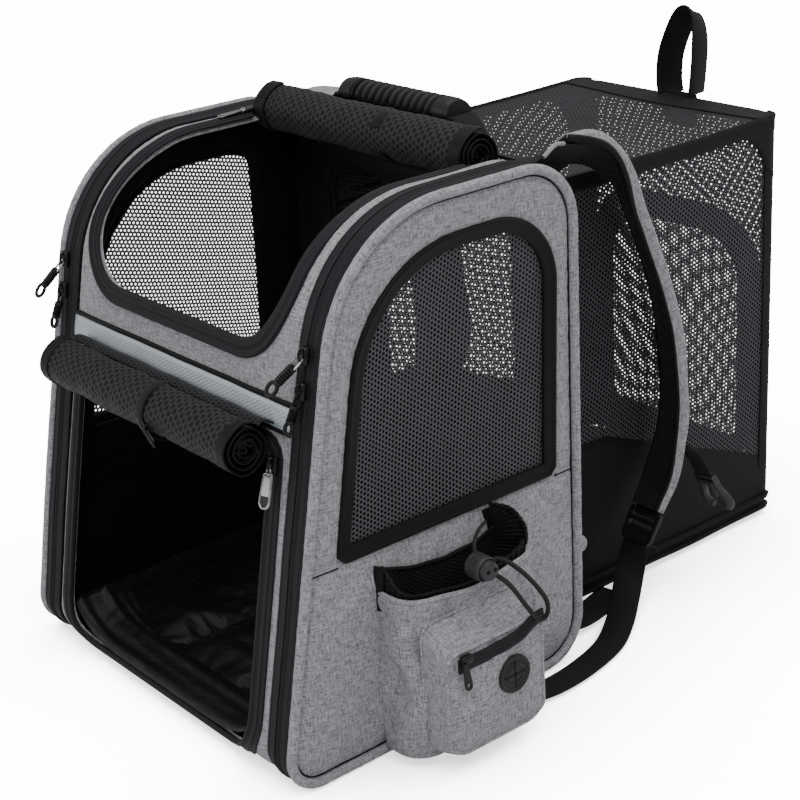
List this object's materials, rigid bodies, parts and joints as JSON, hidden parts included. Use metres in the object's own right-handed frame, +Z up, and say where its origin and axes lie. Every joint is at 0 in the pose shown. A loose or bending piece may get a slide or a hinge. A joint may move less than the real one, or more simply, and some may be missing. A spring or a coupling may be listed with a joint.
{
  "type": "pet carrier backpack",
  "caption": "Soft-sided pet carrier backpack with rolled mesh door and roof flap, side pocket, padded shoulder straps and fold-out mesh rear extension.",
  "frame": {"origin": "centre of the cabin's flat underside, on the floor", "axes": "+Z up; -Y towards the front door; +Y towards the rear mesh extension; +X towards the side with the pocket"},
  "size_m": [0.4804, 0.624, 0.4649],
  "materials": {
    "grey_fabric": "heather grey woven polyester, matt",
    "piping": "grey fabric piping over a cord",
    "black_fabric": "black woven nylon with a slight sheen",
    "webbing": "black woven webbing",
    "black_mesh": "black open mesh",
    "zip_tape": "black zip tape with coil teeth",
    "stiffener": "hidden plastic sheet stiffener",
    "reflective": "silver reflective tape with black edges",
    "black_plastic": "black moulded plastic",
    "steel": "bright steel",
    "rubber": "soft black rubber",
    "cord": "round black elastic cord"
  },
  "bodies": {
    "root": {"side_panel_right": "grey_fabric", "side_panel_left": "grey_fabric", "stiffener_board_right": "stiffener", "stiffener_board_left": "stiffener", "window_mesh_right": "black_mesh", "window_mesh_left": "black_mesh", "piping_right": "piping", "piping_left": "piping", "gusset_front": "grey_fabric", "gusset_roof": "grey_fabric", "top_yoke": "black_fabric", "side_zip_right": "zip_tape", "side_zip_left": "zip_tape", "door_zip_tape": "zip_tape", "reflective_strip": "reflective", "roof_zip_tape": "zip_tape", "bottom_panel": "black_fabric", "rear_frame": "stiffener", "pocket_body": "grey_fabric", "pocket_collar": "black_mesh", "pocket_front": "grey_fabric", "grommet": "rubber", "bungee_cord": "cord", "tent_side_right": "black_mesh", "tent_side_left": "black_mesh", "tent_roof": "black_mesh", "adjuster_webbing_right": "webbing", "adjuster_webbing_left": "webbing"},
    "cushion": {"floor_cushion": "black_fabric"},
    "rolled_door": {"door_roll": "black_mesh"},
    "rolled_roof": {"roof_roll": "black_mesh"},
    "handle": {"handle_webbing": "webbing", "handle_grip": "rubber"},
    "strap_right": {"shoulder_strap_right": "grey_fabric"},
    "strap_left": {"shoulder_strap_left": "grey_fabric"},
    "adjuster_right": {"ladder_lock_right": "black_plastic"},
    "adjuster_left": {"ladder_lock_left": "black_plastic"},
    "sternum_male": {"sternum_web_right": "webbing", "sternum_buckle_male": "black_plastic"},
    "sternum_female": {"sternum_web_left": "webbing", "sternum_buckle_female": "black_plastic"},
    "tent_floor": {"tent_floor_panel": "black_fabric"},
    "tent_end": {"tent_end_wall": "black_mesh", "tent_frame_wire": "steel"},
    "end_door": {"tent_end_door": "black_mesh"},
    "loop": {"pull_loop": "webbing"},
    "zip_right_upper": {"slider_right_upper": "black_plastic"},
    "tab_right_upper": {"pull_right_upper": "black_plastic"},
    "zip_right_lower": {"slider_right_lower": "black_plastic"},
    "tab_right_lower": {"pull_right_lower": "black_plastic"},
    "zip_left_upper": {"slider_left_upper": "black_plastic"},
    "tab_left_upper": {"pull_left_upper": "black_plastic"},
    "zip_left_lower": {"slider_left_lower": "black_plastic"},
    "tab_left_lower": {"pull_left_lower": "black_plastic"},
    "zip_door": {"slider_door": "black_plastic"},
    "tab_door": {"pull_door": "steel"},
    "zip_roof": {"roof_slider": "black_plastic"},
    "zip_pocket": {"pocket_slider": "black_plastic"},
    "cord_stop": {"cord_lock": "black_plastic"},
    "cord_button": {"cord_lock_button": "black_plastic"}
  },
  "joints": [
    {"name": "cushion_lift", "type": "slide", "parent": "root", "child": "cushion", "axis": [0, 0, 1], "range_m": [0, 0.05]},
    {"name": "door_roll_lift", "type": "hinge", "parent": "root", "child": "rolled_door", "pos_m": [0, -0.10786, 0.27477], "axis": [-1, 0, 0], "range_deg": [0, 40]},
    {"name": "roof_roll_lift", "type": "hinge", "parent": "root", "child": "rolled_roof", "pos_m": [0, 0.1235, 0.41], "axis": [-1, 0, 0], "range_deg": [0, 14]},
    {"name": "handle_swing", "type": "hinge", "parent": "root", "child": "handle", "pos_m": [0, 0.136, 0.403], "axis": [1, 0, 0], "range_deg": [-60, 0]},
    {"name": "strap_swing_right", "type": "hinge", "parent": "root", "child": "strap_right", "pos_m": [0.15, 0.1545, 0.419], "axis": [0, -1, 0], "range_deg": [0, 35]},
    {"name": "strap_swing_left", "type": "hinge", "parent": "root", "child": "strap_left", "pos_m": [-0.15, 0.1545, 0.419], "axis": [0, 1, 0], "range_deg": [0, 35]},
    {"name": "adjuster_tilt_right", "type": "hinge", "parent": "strap_right", "child": "adjuster_right", "pos_m": [0.15, 0.25836, 0.07949], "axis": [1, 0, 0], "range_deg": [-12, 30]},
    {"name": "adjuster_tilt_left", "type": "hinge", "parent": "strap_left", "child": "adjuster_left", "pos_m": [-0.15, 0.25836, 0.07949], "axis": [1, 0, 0], "range_deg": [-12, 30]},
    {"name": "sternum_swing_right", "type": "hinge", "parent": "strap_right", "child": "sternum_male", "pos_m": [0.16, 0.2985, 0.13], "axis": [1, 0, 0], "range_deg": [-20, 40]},
    {"name": "sternum_swing_left", "type": "hinge", "parent": "strap_left", "child": "sternum_female", "pos_m": [-0.16, 0.2985, 0.13], "axis": [1, 0, 0], "range_deg": [-20, 40]},
    {"name": "tent_floor_fold", "type": "hinge", "parent": "root", "child": "tent_floor", "pos_m": [0, 0.165, 0.0205], "axis": [1, 0, 0], "range_deg": [0, 90]},
    {"name": "tent_push_in", "type": "slide", "parent": "root", "child": "tent_end", "axis": [0, -1, 0], "range_m": [0, 0.299], "deforming": ["tent_side_right", "tent_side_left", "tent_roof"]},
    {"name": "end_door_drop", "type": "hinge", "parent": "tent_end", "child": "end_door", "pos_m": [0, 0.4592, 0.05], "axis": [1, 0, 0], "range_deg": [-95, 0]},
    {"name": "loop_swing", "type": "hinge", "parent": "tent_end", "child": "loop", "pos_m": [0.003, 0.4615, 0.385], "axis": [1, 0, 0], "range_deg": [-70, 0]},
    {"name": "zip_right_upper_run", "type": "hinge", "parent": "root", "child": "zip_right_upper", "pos_m": [0, 0.01804, 0.309], "axis": [-1, 0, 0], "range_deg": [0, 60]},
    {"name": "zip_right_lower_run", "type": "slide", "parent": "root", "child": "zip_right_lower", "axis": [0, -0.1917, -0.9815], "range_m": [0, 0.21]},
    {"name": "zip_left_upper_run", "type": "hinge", "parent": "root", "child": "zip_left_upper", "pos_m": [0, 0.01804, 0.309], "axis": [-1, 0, 0], "range_deg": [0, 60]},
    {"name": "zip_left_lower_run", "type": "slide", "parent": "root", "child": "zip_left_lower", "axis": [0, -0.1917, -0.9815], "range_m": [0, 0.21]},
    {"name": "tab_right_upper_swing", "type": "hinge", "parent": "zip_right_upper", "child": "tab_right_upper", "pos_m": [0.157, -0.09996, 0.3293], "axis": [-1, 0, 0], "range_deg": [0, 70]},
    {"name": "tab_right_lower_swing", "type": "hinge", "parent": "zip_right_lower", "child": "tab_right_lower", "pos_m": [0.1722, -0.10484, 0.3043], "axis": [-1, 0, 0], "range_deg": [0, 70]},
    {"name": "tab_left_upper_swing", "type": "hinge", "parent": "zip_left_upper", "child": "tab_left_upper", "pos_m": [-0.157, -0.09996, 0.3293], "axis": [-1, 0, 0], "range_deg": [0, 70]},
    {"name": "tab_left_lower_swing", "type": "hinge", "parent": "zip_left_lower", "child": "tab_left_lower", "pos_m": [-0.1722, -0.10484, 0.3043], "axis": [-1, 0, 0], "range_deg": [0, 70]},
    {"name": "zip_door_run", "type": "slide", "parent": "root", "child": "zip_door", "axis": [0, -0.1917, -0.9815], "range_m": [0, 0.17]},
    {"name": "tab_door_swing", "type": "hinge", "parent": "zip_door", "child": "tab_door", "pos_m": [0.1392, -0.11793, 0.24457], "axis": [-1, 0, 0], "range_deg": [0, 70]},
    {"name": "zip_roof_run", "type": "slide", "parent": "root", "child": "zip_roof", "axis": [0, -1, 0], "range_m": [0, 0.075]},
    {"name": "zip_pocket_run", "type": "slide", "parent": "root", "child": "zip_pocket", "axis": [0, 1, 0], "range_m": [0, 0.068]},
    {"name": "cord_stop_slide", "type": "slide", "parent": "root", "child": "cord_stop", "axis": [0, 0, 1], "range_m": [0, 0.012]},
    {"name": "cord_button_press", "type": "slide", "parent": "cord_stop", "child": "cord_button", "axis": [-1, 0, 0], "range_m": [0, 0.003]}
  ]
}
